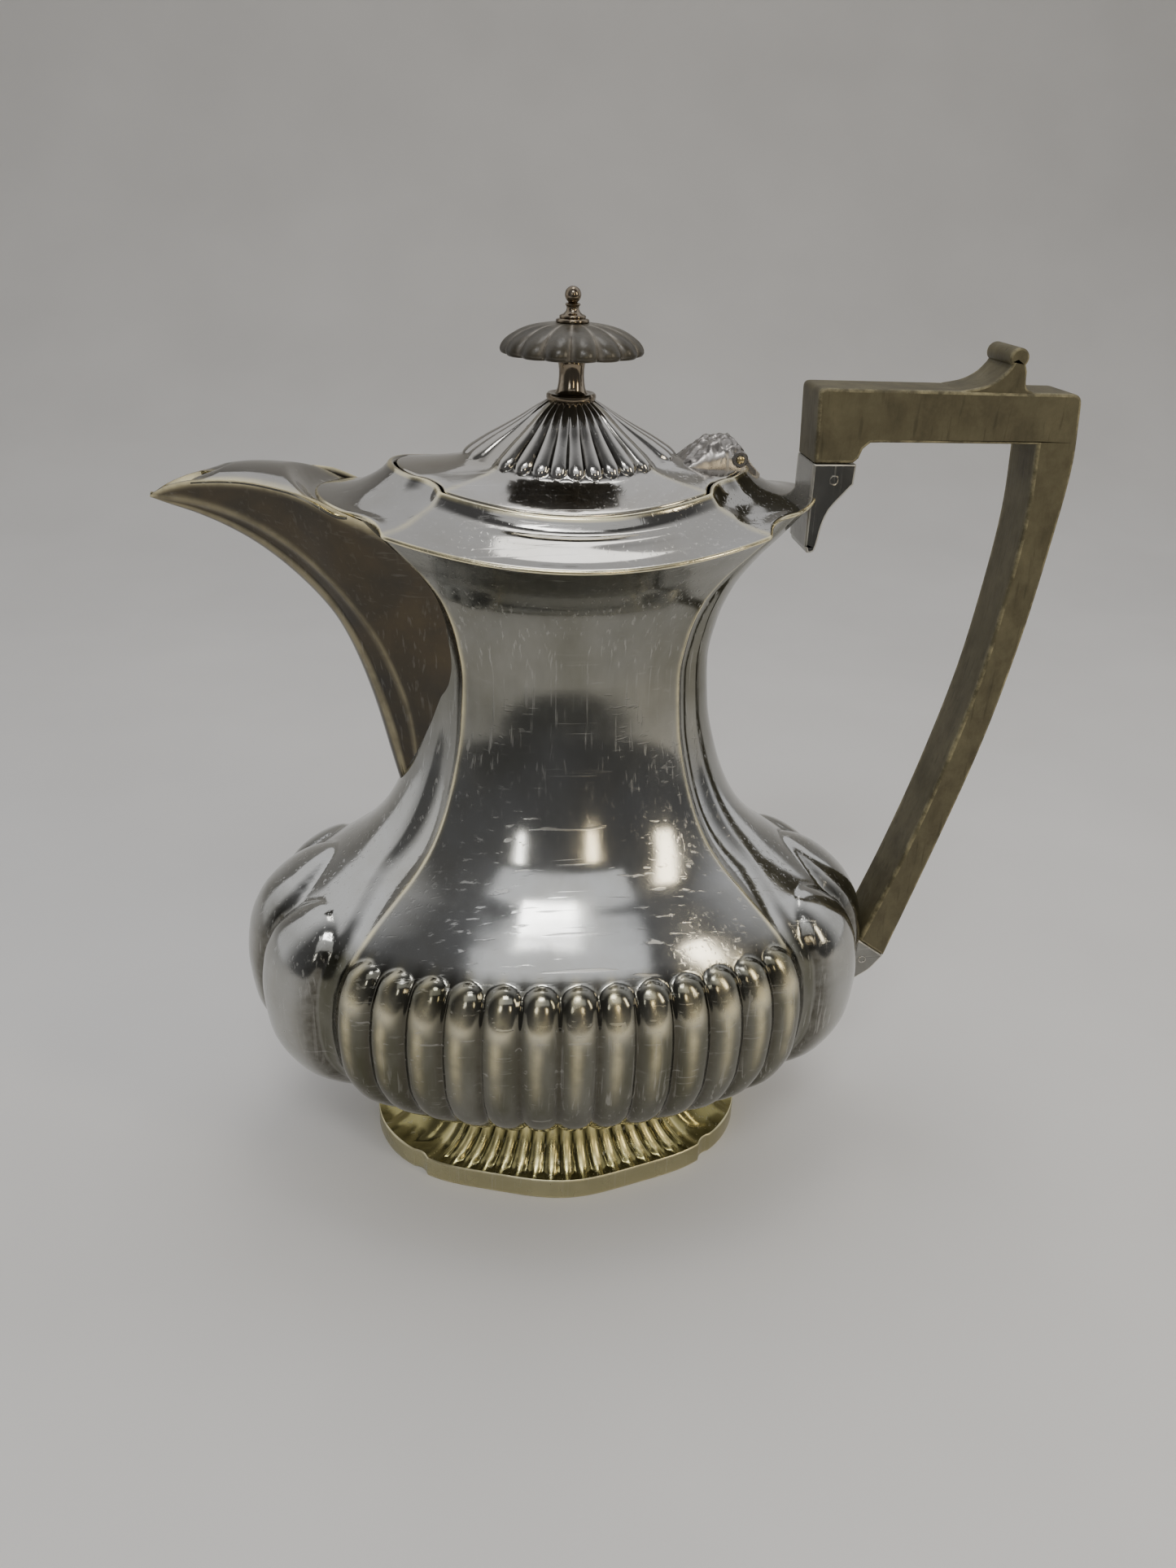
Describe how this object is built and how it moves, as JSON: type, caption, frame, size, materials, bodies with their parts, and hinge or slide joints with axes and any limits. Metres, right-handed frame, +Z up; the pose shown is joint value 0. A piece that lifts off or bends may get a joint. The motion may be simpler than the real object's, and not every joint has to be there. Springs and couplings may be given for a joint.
{
  "type": "coffee pot",
  "caption": "Fluted silver coffee pot with a broad beak spout, hinged domed lid with a melon knob, ribbed foot and a dark wooden side handle pinned into two sockets",
  "frame": {"origin": "middle of the foot's resting plane, under the vessel's upright axis", "axes": "+Z up, +X from the vessel's axis toward the handle, -X toward the spout, -Y is the broad side seen in the picture"},
  "size_m": [0.218, 0.1192, 0.2352],
  "materials": {
    "silver": "old polished silver plate, fine scratches, warm wear on the ridges",
    "silver_foot": "tarnished yellowish silver plate",
    "silver_rim": "polished silver plate with worn edge",
    "silver_spout": "polished silver plate, dark reflections",
    "silver_lid": "polished silver plate",
    "socket_silver": "dull silver with bright worn edges",
    "pin_metal": "worn silver pin",
    "hinge_silver": "lumpy cast silver",
    "hinge_brass": "worn brass",
    "finial_silver": "polished silver plate",
    "stud_brass": "plain brass",
    "handle_wood": "dark dry wood, brown and olive, rubbed edges",
    "knob_wood": "dark dry wood with pale dust in the valleys"
  },
  "bodies": {
    "pot": {"body_shell": "silver", "foot": "silver_foot", "foot_band": "silver_foot", "rim_collar": "silver_rim", "spout_body": "silver_spout", "spout_cover": "silver_rim", "upper_socket": "socket_silver", "upper_socket_pin": "pin_metal", "lower_socket": "socket_silver", "lower_socket_pin": "pin_metal", "handle": "handle_wood", "hinge_leaf_body": "hinge_silver", "hinge_pin": "hinge_brass"},
    "lid": {"lid_cover": "silver_lid", "lid_bezel": "silver_lid", "hinge_leaf_lid": "hinge_silver", "finial_stem": "finial_silver", "finial_knob": "knob_wood", "finial_cap": "finial_silver", "finial_stud": "stud_brass", "finial_washer": "stud_brass", "finial_nut": "stud_brass"}
  },
  "joints": [
    {"name": "lid_hinge", "type": "hinge", "parent": "pot", "child": "lid", "pos_m": [0.0392, 0, 0.199], "axis": [0, 1, 0], "range_deg": [0, 98]}
  ]
}
